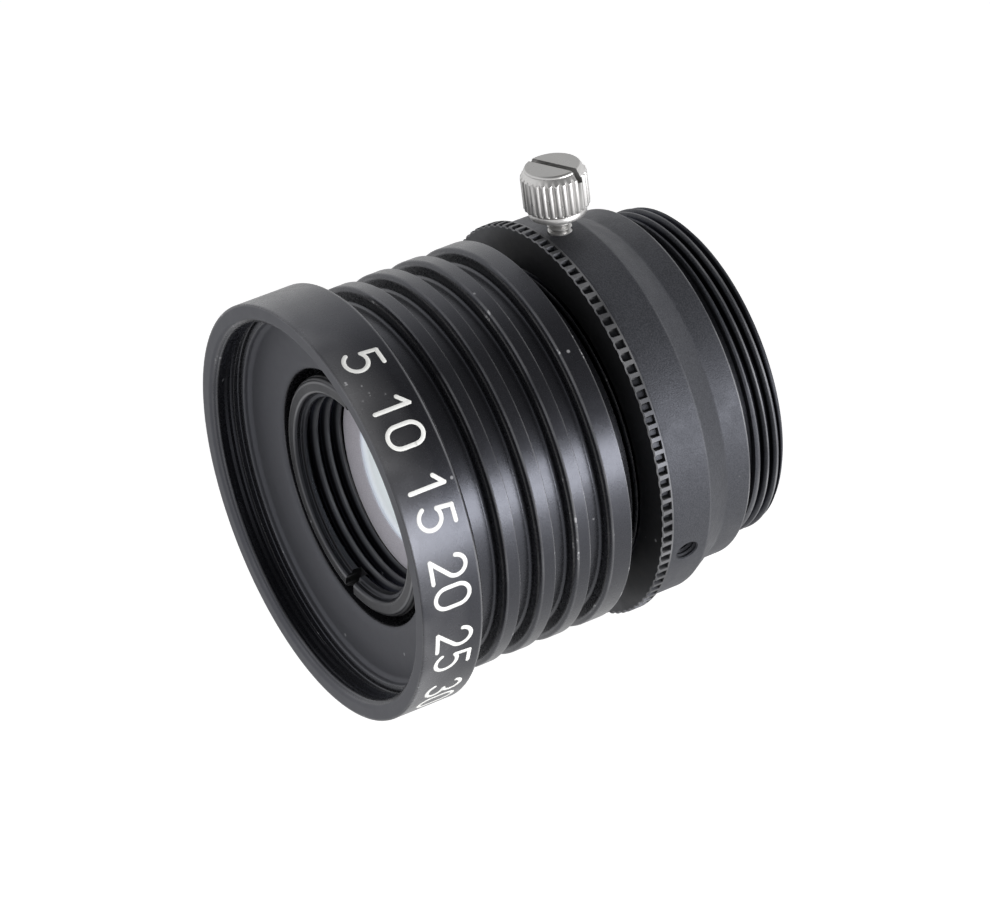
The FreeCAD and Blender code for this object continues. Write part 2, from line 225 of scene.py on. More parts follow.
def ramp(tree, value, low, high):
    """0 below low, 1 above high, straight between; low may be the larger."""
    node = tree.nodes.new("ShaderNodeMapRange")
    tree.links.new(value, node.inputs["Value"])
    feed(tree, node.inputs["From Min"], low)
    feed(tree, node.inputs["From Max"], high)
    return node.outputs["Result"]


def blend(tree, share, first, second):
    """A colour between two, each a socket or a plain colour."""
    node = tree.nodes.new("ShaderNodeMix")
    node.data_type = "RGBA"
    tree.links.new(share, node.inputs["Factor"])
    feed(tree, node.inputs["A"], first)
    feed(tree, node.inputs["B"], second)
    return node.outputs["Result"]


# Wear and painted light, told by a mask attribute. Towards 1 it marks outward corners, where the
# anodising is rubbed a little paler, partly wear and partly a painted highlight, and chips off in short
# dashes that two noises choose. From 1 to 2 it marks faces that are left satin, and below 0 the roots
# of threads and pockets, which get painted shade.
corner_mark, satin_mark, shade_mark = 1.0, 2.0, -1.0
noise_share, chip_threshold, chip_reach, chip_softness = 0.6, 0.86, 0.3, 0.03
edge_wear, into, out = new_group("edge_wear", {"Amount": 0.5, "Scale": 1500.0, "Rub": 0.2},
                                 ("Mask", "PaintedShade", "Satin"))
mark = edge_wear.nodes.new("ShaderNodeAttribute")
mark.attribute_name = "edge"
fine = noise(edge_wear, into.outputs["Scale"], 4.0, 0.6)
broad = noise(edge_wear, 160.0, 2.0)
both = arithmetic(edge_wear, "ADD", arithmetic(edge_wear, "MULTIPLY", fine, noise_share),
                  arithmetic(edge_wear, "MULTIPLY", broad, noise_share))
lowered = arithmetic(edge_wear, "MULTIPLY", into.outputs["Amount"], chip_reach)
threshold = arithmetic(edge_wear, "SUBTRACT", chip_threshold, lowered)
chips = ramp(edge_wear, both, threshold, arithmetic(edge_wear, "ADD", threshold, chip_softness))
# The rub pales every marked corner: partly wear, partly a painted highlight.
rubbed_and_highlight = arithmetic(edge_wear, "MULTIPLY", ramp(edge_wear, broad, 0.25, 0.75), into.outputs["Rub"])
wear_and_light = arithmetic(edge_wear, "MAXIMUM", chips, rubbed_and_highlight)
satin = ramp(edge_wear, mark.outputs["Fac"], corner_mark, satin_mark)
on_corner = ramp(edge_wear, mark.outputs["Fac"], 0.2, corner_mark)
on_corner = arithmetic(edge_wear, "SUBTRACT", on_corner, satin)
edge_wear.links.new(arithmetic(edge_wear, "MULTIPLY", wear_and_light, on_corner), out.inputs["Mask"])
# Below 0 the mask gives painted shade, for the roots of threads and pockets.
edge_wear.links.new(ramp(edge_wear, mark.outputs["Fac"], 0.0, shade_mark), out.inputs["PaintedShade"])
edge_wear.links.new(satin, out.inputs["Satin"])

# Grain: the height of a blasted or brushed skin, and the blotches of its sheen.
grain, into, out = new_group("grain", {"Scale": 9000.0, "Blotch": 500.0}, ("Height", "Sheen"))
grain.links.new(noise(grain, into.outputs["Scale"], 2.0, 0.6), out.inputs["Height"])
grain.links.new(noise(grain, into.outputs["Blotch"], 6.0, 0.7), out.inputs["Sheen"])

# Dust: a few pale specks, each in a cell of its own.
dust, into, out = new_group("dust", {"Scale": 1400.0, "Share": 0.05}, ("Mask",))
cells = dust.nodes.new("ShaderNodeTexVoronoi")
dust.links.new(dust.nodes.new("ShaderNodeTexCoord").outputs["Object"], cells.inputs["Vector"])
dust.links.new(into.outputs["Scale"], cells.inputs["Scale"])
apart = dust.nodes.new("ShaderNodeSeparateColor")
dust.links.new(cells.outputs["Color"], apart.inputs["Color"])
chosen = arithmetic(dust, "LESS_THAN", apart.outputs["Red"], into.outputs["Share"])
near = ramp(dust, cells.outputs["Distance"], 0.22, 0.12)
dust.links.new(arithmetic(dust, "MULTIPLY", chosen, near), out.inputs["Mask"])


def new_material(name):
    """A material and its Principled shader."""
    material = bpy.data.materials.new(name)
    material.use_nodes = True
    return material, material.node_tree.nodes["Principled BSDF"]


def placed(tree, group, **values):
    """The outputs of a group that is placed in a material with the material's own values."""
    node = tree.nodes.new("ShaderNodeGroup")
    node.node_tree = group
    for label, value in values.items():
        node.inputs[label].default_value = value
    return node.outputs


def black_finish(name, colour, rough, wear, grain_scale, grain_depth, rub_and_highlight=0.2, speckle=0.3,
                 uneven=0.16, blotch=500.0):
    """Anodised aluminium: the dye's colour, speckled with the grain, chipped to bare metal on the
    edges and rubbed paler there, partly wear and partly a painted highlight, greyer where it is satin,
    and with painted shade in the roots of threads, near black and without reflection; with dust, an
    uneven sheen and a fine grain. Depths are in metres and scales per metre."""
    # The last of these colours, near black, is painted shade for the roots of threads and pockets.
    bare_metal, satin_face, root = (0.42, 0.42, 0.43, 1), (0.062, 0.063, 0.07, 1), (0.004, 0.004, 0.005, 1)
    dust_share, dust_strength, satin_rougher = 0.01, 0.6, 0.26
    material, skin = new_material(name)
    tree = material.node_tree
    edges = placed(tree, edge_wear, Amount=wear, Rub=rub_and_highlight)
    specks = placed(tree, dust, Share=dust_share)["Mask"]
    grained = placed(tree, grain, Scale=grain_scale, Blotch=blotch)
    marks = arithmetic(tree, "MAXIMUM", edges["Mask"], arithmetic(tree, "MULTIPLY", specks, dust_strength))
    darker, paler = [(*[c * share for c in colour], 1) for share in (1 - speckle, 1 + speckle)]
    dyed = blend(tree, ramp(tree, grained["Height"], 0.35, 0.65), darker, paler)
    soft = blend(tree, edges["Satin"], dyed, satin_face)
    # Painted shade: the roots of threads and pockets turn near black.
    dark = blend(tree, edges["PaintedShade"], soft, root)
    tree.links.new(blend(tree, marks, dark, bare_metal), skin.inputs["Base Color"])
    # Painted shade too: the roots turn metallic with a near-black colour, so they reflect nothing.
    tree.links.new(edges["PaintedShade"], skin.inputs["Metallic"])
    skin.inputs["Specular Tint"].default_value = (0.83, 0.86, 1.0, 1)
    blotches = ramp(tree, grained["Sheen"], 0.3, 0.7)
    sheen = arithmetic(tree, "MULTIPLY_ADD", blotches, uneven, rough - uneven / 2)
    sheen = arithmetic(tree, "MULTIPLY_ADD", edges["Satin"], satin_rougher, sheen)
    tree.links.new(sheen, skin.inputs["Roughness"])
    bump = tree.nodes.new("ShaderNodeBump")
    bump.inputs["Strength"].default_value = 1.0
    bump.inputs["Distance"].default_value = grain_depth
    tree.links.new(grained["Height"], bump.inputs["Height"])
    tree.links.new(bump.outputs["Normal"], skin.inputs["Normal"])
    return material


def coated(made, material):
    """Gives an object one material in place of those it has."""
    made.data.materials.clear()
    made.data.materials.append(material)


def dress(made, material, body, slot, *replaced):
    """Gives a piece its material and its body, and hides the nodes it stands for. The slot is not used."""
    coated(made, material)
    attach(made, body)
    if replaced:
        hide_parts(*replaced)


matte_black = black_finish("matte_black", (0.032, 0.033, 0.037), rough=0.5, wear=0.2,
                           grain_scale=9000, grain_depth=2.2e-5, rub_and_highlight=0.7, speckle=0.4)
round_about = np.linspace(0, 2 * np.pi, 257)
grip_front, grip_rear, taper_rear, relief_rear = -7.6, -4.2, -2.05, 0.9
thread_rear, bore_front = 3.8, -2.0
grip_radius, grip_edge, seat_radius, relief_radius = 14.75, 0.12, 13.6, 12.05
focus_bore, rear_bore = 12.05, 10.8
camera_crest, camera_groove, camera_pitch, camera_core = 12.7, 0.45, 25.4 / 32, 12.2
camera_run_out, camera_bevel = 0.2, 0.5
camera_thread = helix(relief_rear + camera_run_out, thread_rear - camera_run_out, camera_crest,
                      camera_groove, camera_pitch, round_about)
rear_bevel = camera_crest - np.maximum(camera_thread[1] - thread_rear + camera_bevel, 0)
front_bevel = camera_core + 2 * (camera_thread[1] - relief_rear)
camera_thread[0] = np.minimum(np.minimum(camera_thread[0], rear_bevel), front_bevel)
before_thread = [
    (grip_radius - grip_edge, grip_front), (grip_radius, grip_front + grip_edge),
    (grip_radius, grip_rear), (seat_radius, taper_rear), (seat_radius, 0),
    (relief_radius, 0), (relief_radius, relief_rear), (camera_core - 0.1, relief_rear),
]
after_thread = [
    (camera_core, thread_rear), (rear_bore, thread_rear), (rear_bore, bore_front),
    (focus_bore, bore_front), (focus_bore, grip_front),
]
mount_outline = trimmed(before_thread + after_thread)
# On the grip the corners' marks, wear and painted highlight, are weaker.
grip_corner_marks = np.where(mount_outline[1] < -1, 0.3, 1)
# The relief behind the seat gets painted shade.
in_relief = (mount_outline[0] < 12.5) & (mount_outline[1] > 0.04)
mount_outline[2] = np.where(in_relief, -0.6, grip_corner_marks * mount_outline[2])
split = rows_a_corner * len(before_thread)
mount_rows = joined([v[:split] for v in mount_outline], camera_thread, [v[split:] for v in mount_outline])
mount_body = turned("mount_housing", mount_rows, round_about)
screw_place, hole_spacing, hole_radius, hole_groove = -5.9, 116, 0.86, 0.09
hole_inner, hole_outer = 10.5, 16.0
carve(mount_body, [hole_cutter(hole_radius, hole_groove, hole_inner, hole_outer, screw_place, angle)
                   for angle in (0, hole_spacing, -hole_spacing)])
dress(mount_body, matte_black, "mount", "matte_black_aluminium", "mount_body")


# The outer barrel: a second turned aluminium piece with a front ring, four ribs and a threaded
# neck, anodised glossy black. It screws into the mount body to focus.
gloss_black = black_finish("gloss_black", (0.01, 0.01, 0.0115), rough=0.27, wear=0.42,
                           grain_scale=16000, grain_depth=3e-6, rub_and_highlight=0.32, uneven=0.07, blotch=900.0)
gloss_black.node_tree.nodes["Principled BSDF"].inputs["Specular IOR Level"].default_value = 0.62
front_face, front_ring_rear, front_ring_edge = -29.1, -24.05, 0.25
ink_room = 0.015
ring_radius = 16 - ink_room
groove_radius, groove_corner = 13.5, 0.16
rib_radius, rib_chamfer_length, rib_chamfer_drop = 14.75, 0.2, 0.35
rib_fronts, rib_widths = [-21.59, -18.64, -15.69, -12.74], [1.27, 1.27, 1.27, 1.82]
neck_radius, neck_rear = 12.0, -2.6
outside = [(ring_radius, front_face + 0.06), (ring_radius, front_ring_rear - front_ring_edge),
           (ring_radius - front_ring_edge, front_ring_rear), (groove_radius, front_ring_rear)]
for rib, width in zip(rib_fronts, rib_widths):
    behind = neck_radius if rib == rib_fronts[-1] else groove_radius
    outside += [(groove_radius, rib - groove_corner), (groove_radius + groove_corner, rib),
                (rib_radius - rib_chamfer_drop, rib), (rib_radius, rib + rib_chamfer_length),
                (rib_radius, rib + width), (behind, rib + width)]
focus_pitch, focus_groove = 0.5, 0.27
focus_thread = helix(-9.4, -4.86, neck_radius, focus_groove, focus_pitch, round_about)
o_ring_front, o_ring_rear, o_ring_floor = -4.7, -3.4, 10.95
o_ring_groove = [(neck_radius, o_ring_front), (o_ring_floor, o_ring_front),
                 (o_ring_floor, o_ring_rear), (neck_radius, o_ring_rear)]
tail_bore, cell_bore, cell_stop = 9.35, 9.9, -14.1
inside = [(neck_radius, neck_rear), (tail_bore, neck_rear), (tail_bore, cell_stop),
          (cell_bore, cell_stop), (cell_bore, -25.45)]
dish = [(9.92, -25.62), (10.02, -25.74), (10.22, -25.83), (10.55, -25.89), (11.2, -25.95),
        (12.5, -26.05), (13.8, -26.1), (14.1, -26.3), (14.1, -26.6), (14.4, -26.75),
        (14.7, -26.8), (14.7, -27.2), (14.5, -27.2)]
filter_radius, filter_groove, filter_pitch = 14.5, 0.1, 0.5
filter_thread = helix(-27.36, front_face + 0.56, filter_radius, -filter_groove, filter_pitch, round_about)
# The whole filter thread gets light painted shade.
filter_thread[2] = np.full_like(filter_thread[0], -0.4)
mouth = [(filter_radius, front_face + 0.4), (14.95, front_face), (ring_radius - 0.06, front_face)]
profile = trimmed(outside + o_ring_groove + inside + dish + mouth, 0.05, 0.1)
on_lip = profile[1] < front_face + 0.3
profile[2] = np.where(on_lip, np.where(profile[0] > 15.85, corner_mark, satin_mark), profile[2])
in_dish = (profile[0] > 9.95) & (profile[0] < 14.2) & (profile[1] < -25.6) & (profile[1] > -26.7)
profile[2] = np.where(in_dish, satin_mark, profile[2])
first = rows_a_corner * len(outside)
last = rows_a_corner * len(outside + o_ring_groove + inside + dish)
barrel_rows = joined([v[:first] for v in profile], focus_thread, [v[first:last] for v in profile],
                     filter_thread, [v[last:] for v in profile])
outer_barrel = turned("ribbed_barrel", barrel_rows, round_about)
dress(outer_barrel, gloss_black, "barrel", "gloss_black_aluminium", "outer_barrel")


# Plain numbers round the front ring, where the real one carries white lettering. They are
# printed in thick white ink: each stroke is a line with rounded ends, laid on the ring.

def bow(middle_x, middle_y, wide, high, start, end):
    """Points along an ellipse's arc: middle + (wide cos a, high sin a), a from start to end."""
    a = np.radians(np.linspace(start, end, 24))
    return np.stack([middle_x + wide * np.cos(a), middle_y + high * np.sin(a)], axis=1)


strokes = {
    "0": [np.concatenate([bow(0.3, 0.68, 0.3, 0.32, 0, 180), bow(0.3, 0.32, 0.3, 0.32, 180, 360),
                          [(0.6, 0.68)]])],
    "1": [np.array([(0.1, 0.76), (0.36, 1.0)]), np.array([(0.36, 1.0), (0.36, 0.0)])],
    "2": [np.concatenate([bow(0.3, 0.7, 0.28, 0.3, 170, -35), [(0.0, 0.0)]]),
          np.array([(0.0, 0.0), (0.6, 0.0)])],
    "3": [bow(0.28, 0.75, 0.25, 0.25, 160, -90), bow(0.28, 0.25, 0.3, 0.25, 90, -160)],
    "5": [np.array([(0.55, 1.0), (0.12, 1.0)]), np.array([(0.12, 1.0), (0.08, 0.57)]),
          bow(0.28, 0.32, 0.31, 0.32, 130, -150)],
}
text_height, text_base, digit_step, line_width = 2.75, -27.95, 0.84, 0.36


def ink_stroke(path, start_angle):
    """A stroke on the ring. The path is walked in even steps and smoothed; four lines run along
    it, two sunk in the ring and two at the ink's height; the ends are rounded by narrowing the
    width as a half circle. x along the text becomes an angle, and y runs towards the rear."""
    step, least_steps, cap_rows, tip = 0.09, 12, 5, 0.05
    side = np.array([-1, -0.8, 0.8, 1])[:, None]
    lift = np.array([-0.01, 0.012, 0.012, -0.01])[:, None]
    path = path * text_height
    length = np.concatenate([[0], np.cumsum(np.linalg.norm(np.diff(path, axis=0), axis=1))])
    steps = np.linspace(0, length[-1], max(int(length[-1] / step), least_steps))
    line = np.stack([np.interp(steps, length, path[:, 0]), np.interp(steps, length, path[:, 1])], axis=1)
    line[1:-1] = (line[:-2] + 2 * line[1:-1] + line[2:]) / 4
    along = np.gradient(line, axis=0)
    along /= np.linalg.norm(along, axis=1)[:, None]
    quarter = np.linspace(0, np.pi / 2, cap_rows + 1)[1:]
    reach = line_width / 2 * np.sin(quarter)[:, None]
    narrow = np.maximum(np.cos(quarter), tip)
    line = np.concatenate([line[0] - along[0] * reach[::-1], line, line[-1] + along[-1] * reach])
    along = np.concatenate([np.repeat(along[:1], cap_rows, 0), along, np.repeat(along[-1:], cap_rows, 0)])
    half = np.concatenate([narrow[::-1], np.ones(len(steps)), narrow]) * line_width / 2
    t = start_angle + (line[:, 0] - along[:, 1] * half * side) / ring_radius
    y = text_base + line[:, 1] + along[:, 0] * half * side
    r = ring_radius + lift
    points = np.stack([r * np.sin(t), y, r * np.cos(t)], axis=-1)
    count = len(line)
    end = np.arange(4) * count
    faces = np.concatenate([grid_faces(4, count, True), [end, (end + count - 1)[::-1]]])
    return points.reshape(-1, 3), faces


ink, ink_skin = new_material("white_ink")
ink_skin.inputs["Base Color"].default_value = (0.82, 0.82, 0.8, 1)
ink_skin.inputs["Roughness"].default_value = 0.55
pieces, faces, offset = [], [], 0
for number, degrees in (("5", 23), ("10", 38), ("15", 60), ("20", 82), ("25", 104), ("30", 126)):
    for order, digit in enumerate(number):
        digit_angle = math.radians(degrees) + order * digit_step * text_height / ring_radius
        for path in strokes[digit]:
            points, quads = ink_stroke(path, digit_angle)
            pieces.append(points)
            faces.append(quads + offset)
            offset += len(points)
numbers = finished("ring_numbers", np.concatenate(pieces), np.concatenate(faces), np.zeros(offset), 60)
dress(numbers, ink, "barrel", "gloss_black_aluminium")


# The lock ring: a thin aluminium ring on the neck, anodised black, milled with 98 square notches.
# A lip about 0.1 mm wide nearly closes them in front, and they stop at a thin rim behind.
ring_black = black_finish("ring_black", (0.012, 0.012, 0.0125), rough=0.42, wear=0.3,
                          grain_scale=16000, grain_depth=4e-6, rub_and_highlight=0.8)
notch_count, notch_start = 98, 2.5
pitch = 2 * np.pi / notch_count
edges = np.array([-0.34, -0.3, -0.18, 0.18, 0.3, 0.34]) * pitch
ring_angles = (np.arange(notch_count)[:, None] * pitch + math.radians(notch_start) + edges).ravel()
ring_angles = np.append(ring_angles, ring_angles[0] + 2 * np.pi)
in_notch = np.append(np.tile([0, 0.6, 1, 1, 0.6, 0], notch_count), 0)
in_lip = np.append(np.tile([0, 0, 1, 1, 0, 0], notch_count), 0)
lock_front, lock_rear, rim_front = -8.57, -7.63, -7.79
# Each row gives radius, place, depth of the notches and wear; the first seven make the lip. The
# wear of 0.6 and more along the outside rubs it paler, partly wear and partly a painted highlight.
lip_rows = 7
radius, place, notch_depth, wear = np.array([
    (12.05, lock_front + 0.05, 0, 0), (12.1, lock_front, 0, 0), (15.07, lock_front, 0.08, 0),
    (15.1, lock_front, 0.1, 0.9), (15.2, lock_front + 0.07, 0.12, 0.8),
    (15.2, lock_front + 0.09, 0.14, 0.7), (15.2, lock_front + 0.12, 0.42, 0.6),
    (15.2, rim_front - 0.03, 0.35, 0.6), (15.2, rim_front, 0.3, 0.6), (15.2, rim_front, 0, 0.6),
    (15.2, lock_rear - 0.05, 0, 0.6), (15.15, lock_rear, 0, 0), (12.1, lock_rear, 0, 0),
    (12.05, lock_rear - 0.05, 0, 0),
]).T
milled = notch_depth[:, None] * np.where((np.arange(len(radius)) < lip_rows)[:, None], in_lip, in_notch)
# The floors of the deep notches get a little painted shade.
wear = np.where(milled > 0.15, -0.05, wear[:, None])
lock_ring = turned("notched_lock_ring", [radius[:, None] - milled, place, wear], ring_angles)
dress(lock_ring, ring_black, "lock_ring", "gloss_black_aluminium", "lock_ring")


# The lens cell: a black aluminium tube that holds the glass. It screws into the barrel from the
# front with a spanner in its two slots, and grooves inside its mouth kill stray light.
inner_black = black_finish("inner_black", (0.012, 0.012, 0.0125), rough=0.32, wear=0.1,
                           grain_scale=14000, grain_depth=4e-6, rub_and_highlight=0.6)
cell_front, cell_rear = -25.75, front_face + 25.6
# The stacks in front of and behind the web, from front to rear: lens, spacer, second lens, spacer
# and cemented pair, then the stop, spacer, cemented pair, spacer and rear lens.
front_stack, rear_stack = (1.5, 0.8, 1.2, 1.0, 2.0, 1.5), (0.3, 1.0, 1.3, 1.9, 1.0, 1.7)
retaining_front, retaining_length, web = -22.78, 1.6, 0.8
lens_front = retaining_front + retaining_length
web_front = lens_front + sum(front_stack)
web_rear = web_front + web
rear_pocket = web_rear + sum(rear_stack)
slot_angle, slot_half, slot_depth = 14.65, 3.65, 1.2


def slot_angles(middle, half):
    """The angles of a turned piece with two slots in its face: both sides of each slot lie
    between two angles a hair apart."""
    hair = 0.08
    sides = np.array([middle, middle + 180])[:, None] + np.array([-half - hair, -half, half, half + hair])
    return np.sort(np.concatenate([round_about, np.radians(sides.ravel()) % (2 * np.pi)]))


def slotted(rows, angles, middle, half, floor):
    """Rows of a turned piece with two slots: between the sides, no row stands in front of the
    slots' floor."""
    swing = (np.degrees(angles) - middle + 90) % 180 - 90
    between = np.abs(swing) < half + 0.04
    radius, place, mask = widened(rows, len(angles))
    return [radius, np.where(between, np.maximum(place, floor), place),
            np.where(between & (place < floor), 0, mask)]


cell_angles = slot_angles(slot_angle, slot_half)
nose_radius, nose_length, shoulder_radius, tail_radius = 9.26, 3.0, 9.85, 9.25
pocket_radius, web_radius = 7.35, 5.2
mouth_radius, mouth_step, baffle_depth, baffle_pitch = 7.6, 7.95, 0.35, 0.98
baffles = helix(lens_front - 0.16, cell_front + 0.7, mouth_radius, -baffle_depth, baffle_pitch, cell_angles)
cell_body = [
    (8.15, cell_front - 0.05), (8.9, cell_front - 0.05), (9.1, cell_front + 0.1),
    (nose_radius, cell_front + 0.4), (nose_radius, cell_front + nose_length),
    (shoulder_radius, cell_front + nose_length), (shoulder_radius, cell_stop),
    (tail_radius, cell_stop), (tail_radius, cell_rear), (mouth_radius, cell_rear),
    (mouth_radius, rear_pocket), (pocket_radius, rear_pocket), (pocket_radius, web_rear),
    (web_radius, web_rear), (web_radius, web_front), (pocket_radius, web_front),
    (pocket_radius, lens_front), (mouth_radius, lens_front),
]
cell_mouth = [(mouth_radius, cell_front + 0.5), (mouth_step, cell_front + 0.45),
              (mouth_step, cell_front + 0.13)]
cell_outline = trimmed(cell_body + cell_mouth, 0.05, 0.1)
# The step in the cell's mouth gets painted shade.
in_mouth = (cell_outline[0] < 8.05) & (cell_outline[1] < cell_front + 0.6)
cell_outline[2] = np.where(in_mouth, -0.3, cell_outline[2])
split = rows_a_corner * len(cell_body)
cell_rows = joined([v[:split] for v in cell_outline], baffles, [v[split:] for v in cell_outline])
cell_rows = slotted(cell_rows, cell_angles, slot_angle, slot_half, cell_front + slot_depth)
lens_cell = turned("optics_tube", cell_rows, cell_angles)
dress(lens_cell, inner_black, "barrel", "inner_black_aluminium", "lens_cell")


# The front retaining ring: a thin threaded ring with a shallow cone, which presses the front lens
# into its pocket. It is satin, and its pale grey colour is a painted highlight for the light it catches.
painted_highlight_grey = black_finish("painted_highlight_grey", (0.64, 0.62, 0.68), rough=0.36, wear=0.0, grain_scale=14000,
                          grain_depth=4e-6, speckle=0.1)
ring_face = lens_front - 0.77
ring_slots, ring_slot_depth = slot_angle + 125, 0.2
cone_angles = slot_angles(ring_slots, slot_half)
cone_rows = trimmed([
    (7.25, ring_face), (7.55, ring_face), (7.55, lens_front), (6.6, lens_front),
    (5.65, lens_front - 0.4), (5.65, lens_front - 0.5),
], 0.03, 0.06)
cone_rows = slotted(cone_rows, cone_angles, ring_slots, slot_half, ring_face + ring_slot_depth)
front_ring = turned("front_cone_ring", cone_rows, cone_angles)
dress(front_ring, painted_highlight_grey, "barrel", "inner_black_aluminium", "front_retaining_ring")


# The front lens: coated crown glass, ground to a strong curve in front and a hollow behind, with
# a flat rim. The pale light that its coats and the many surfaces behind it throw back is painted on as a
# glow.

def lens_face(bow_height, plane, side):
    """A spherical face from the axis out to the clear radius: place = plane + side * (sag)."""
    clear_radius = 6.5
    r = np.linspace(0, clear_radius, 24)
    sphere = (clear_radius ** 2 + bow_height ** 2) / (2 * abs(bow_height))
    sag = np.sqrt(sphere ** 2 - r ** 2) - (sphere - abs(bow_height))
    return r, plane + side * math.copysign(1, bow_height) * sag


def glass(name, colour, clear):
    """Polished glass; clear is the share that goes through instead of scattering."""
    material, skin = new_material(name)
    skin.inputs["Base Color"].default_value = (*colour, 1)
    skin.inputs["Roughness"].default_value = 0.02
    skin.inputs["IOR"].default_value = 1.52
    skin.inputs["Transmission Weight"].default_value = clear
    return material


glass_with_painted_glow = glass("glass_with_painted_glow", (0.88, 0.93, 0.95), 0.08)
painted_glow_skin = glass_with_painted_glow.node_tree.nodes["Principled BSDF"]
# A pale glow of its own, painted light for what the coats and the surfaces behind throw back.
painted_glow_skin.inputs["Emission Color"].default_value = (0.9, 0.96, 1.0, 1)
painted_glow_skin.inputs["Emission Strength"].default_value = 0.26
front_bow, rear_bow, rim_radius, rim_bevel = 0.9, -0.55, 7.3, 0.02
lens_back = lens_front + front_stack[0]
front_r, front_y = lens_face(front_bow, lens_front, -1)
rear_r, rear_y = lens_face(rear_bow, lens_back, 1)
rim_r = [rim_radius - rim_bevel, rim_radius, rim_radius, rim_radius - rim_bevel]
rim_y = [lens_front, lens_front + rim_bevel, lens_back - rim_bevel, lens_back]
lens_r = np.concatenate([front_r, rim_r, rear_r[::-1]])
lens_y = np.concatenate([front_y, rim_y, rear_y[::-1]])
front_lens = turned("front_glass", [lens_r, lens_y, np.zeros(len(lens_r))], round_about, around=False)
dress(front_lens, glass_with_painted_glow, "barrel", "crown_glass", "front_lens")


# The glass and rings behind it, as the CAD has them: black spacers, the stop, two cemented pairs
# and the rear lens with its own retaining ring.
clear_glass = glass("clear_glass", (0.92, 0.95, 0.95), 1.0)
for node in ("second_lens", "front_doublet_crown", "front_doublet_flint", "rear_doublet_flint",
             "rear_doublet_crown", "rear_lens"):
    coated(nodes[node], clear_glass)
for node in ("front_spacer", "second_spacer", "stop_spacer", "rear_spacer", "aperture_stop",
             "rear_retaining_ring"):
    coated(nodes[node], inner_black)


# The damping ring in the neck's groove is black rubber, and the pad under the thumbscrew nylon.
# Both are as the CAD has them.

def plain(name, colour, rough):
    """One colour with a faint unevenness of sheen."""
    material, skin = new_material(name)
    tree = material.node_tree
    skin.inputs["Base Color"].default_value = (*colour, 1)
    uneven = 0.1
    sheen = arithmetic(tree, "MULTIPLY_ADD", noise(tree, 800.0), uneven, rough - uneven / 2)
    tree.links.new(sheen, skin.inputs["Roughness"])
    return material


coated(nodes["damping_o_ring"], plain("black_rubber", (0.02, 0.02, 0.02), 0.6))
coated(nodes["pressure_pad"], plain("natural_nylon", (0.7, 0.69, 0.64), 0.5))


# The thumbscrew: nickel-plated steel, with a flange, a fluted head that has a bright bevelled top,
# and a slot for a screwdriver. It clamps the barrel through the pad.
tip, screw_radius, screw_groove, screw_pitch = 12.86, 0.9, 0.2, 0.4
head_bottom = grip_radius + 1.4
head_top = head_bottom + 3.9
flange_radius, waist_radius, head_radius, top_radius = 2.15, 2.02, 2.45, 2.1
flank_low, flank_high = head_bottom + 0.67, head_top - 0.64
flute_count, per_flute, flute_depth = 28, 8, 0.2
screw_angles = np.linspace(0, 2 * np.pi, flute_count * per_flute + 1)
phase = np.arange(len(screw_angles)) % per_flute / per_flute
flute = np.clip(1 - np.abs(phase * 2 - 1) * 1.6, 0, 1)
# Each row gives radius, height and the share of the flutes' depth; the first three make the tip.
tip_rows = 3
screw_r, screw_z, fluted = np.array([
    (0, tip, 0), (screw_radius - 0.1, tip, 0), (screw_radius, tip + 0.1, 0),
    (screw_radius, head_bottom - 0.02, 0), (0.94, head_bottom, 0), (2.0, head_bottom, 0),
    (2.11, head_bottom + 0.05, 0), (flange_radius, head_bottom + 0.16, 0),
    (flange_radius, head_bottom + 0.4, 0), (2.12, head_bottom + 0.5, 0),
    (waist_radius, head_bottom + 0.55, 0), (waist_radius, flank_low, 0), (2.3, flank_low, 0),
    (2.42, flank_low + 0.06, 0.9), (head_radius, flank_low + 0.14, 1),
    (head_radius, flank_high - 0.1, 1), (2.43, flank_high - 0.02, 0.9), (2.3, flank_high + 0.06, 0),
    (2.16, head_top - 0.26, 0), (top_radius, head_top - 0.22, 0), (top_radius, head_top - 0.14, 0),
    (2.06, head_top - 0.075, 0), (1.98, head_top, 0), (0, head_top, 0),
]).T
screw_r = screw_r[:, None] - flute_depth * fluted[:, None] * flute
screw_thread = helix(13.0, head_bottom - 0.1, screw_radius, screw_groove, screw_pitch, screw_angles)
# The screw's thread keeps only the painted shade of its roots.
screw_thread[2] = np.minimum(screw_thread[2], 0)
unmarked = np.zeros(len(screw_z))
r, z, mask = joined([screw_r[:tip_rows], screw_z[:tip_rows], unmarked[:tip_rows]], screw_thread,
                    [screw_r[tip_rows:], screw_z[tip_rows:], unmarked[tip_rows:]])
screw_points = np.stack([r * np.sin(screw_angles), screw_place + r * np.cos(screw_angles), z], axis=-1)
screw_faces = grid_faces(len(r), len(screw_angles), False)
screw_sharp = 38
thumbscrew = finished("thumb_screw", screw_points.reshape(-1, 3), screw_faces, mask.ravel(), screw_sharp)
driver_way, driver_reach, driver_half, driver_depth = math.radians(21), 4.0, 0.24, 1.0
corner_x = np.array([-1, 1, 1, -1, -1, 1, 1, -1]) * driver_reach
corner_y = np.array([-1, -1, 1, 1, -1, -1, 1, 1]) * driver_half
corner_z = np.where(np.arange(8) < 4, head_top - driver_depth, head_top + 1.0)
slot_points = np.stack([corner_x * math.cos(driver_way) - corner_y * math.sin(driver_way),
                        screw_place + corner_x * math.sin(driver_way) + corner_y * math.cos(driver_way),
                        corner_z], axis=1)
slot_faces = np.array([(0, 3, 2, 1), (4, 5, 6, 7), (0, 1, 5, 4), (1, 2, 6, 5), (2, 3, 7, 6), (3, 0, 4, 7)])
carve(thumbscrew, [finished("cutter", slot_points, slot_faces, np.zeros(8))], screw_sharp)

